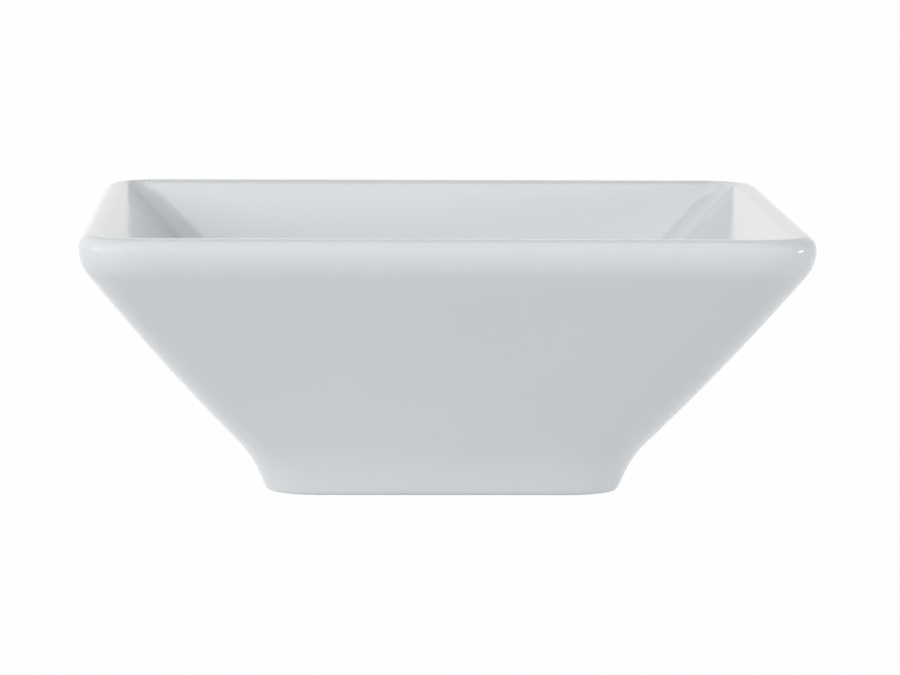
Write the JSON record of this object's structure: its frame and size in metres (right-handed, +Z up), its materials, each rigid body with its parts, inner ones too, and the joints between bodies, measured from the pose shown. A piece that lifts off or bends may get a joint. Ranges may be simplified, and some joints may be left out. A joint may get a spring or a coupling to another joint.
{
  "type": "sauce dish",
  "caption": "Square soy sauce dish in glazed white porcelain, with flared walls, a rolled rim and a small square foot.",
  "frame": {"origin": "on the table at the middle of the foot", "axes": "+Z up out of the bowl; X and Y each run square to two of the four like sides, and -Y is the side that faces the viewer in the picture"},
  "size_m": [0.082, 0.082, 0.0314],
  "materials": {
    "porcelain": "fired, unglazed, matt",
    "glaze": "clear gloss glaze over white porcelain"
  },
  "bodies": {
    "root": {"porcelain_body": "porcelain", "glaze_coat": "glaze", "foot_well_glaze": "glaze"}
  },
  "joints": []
}
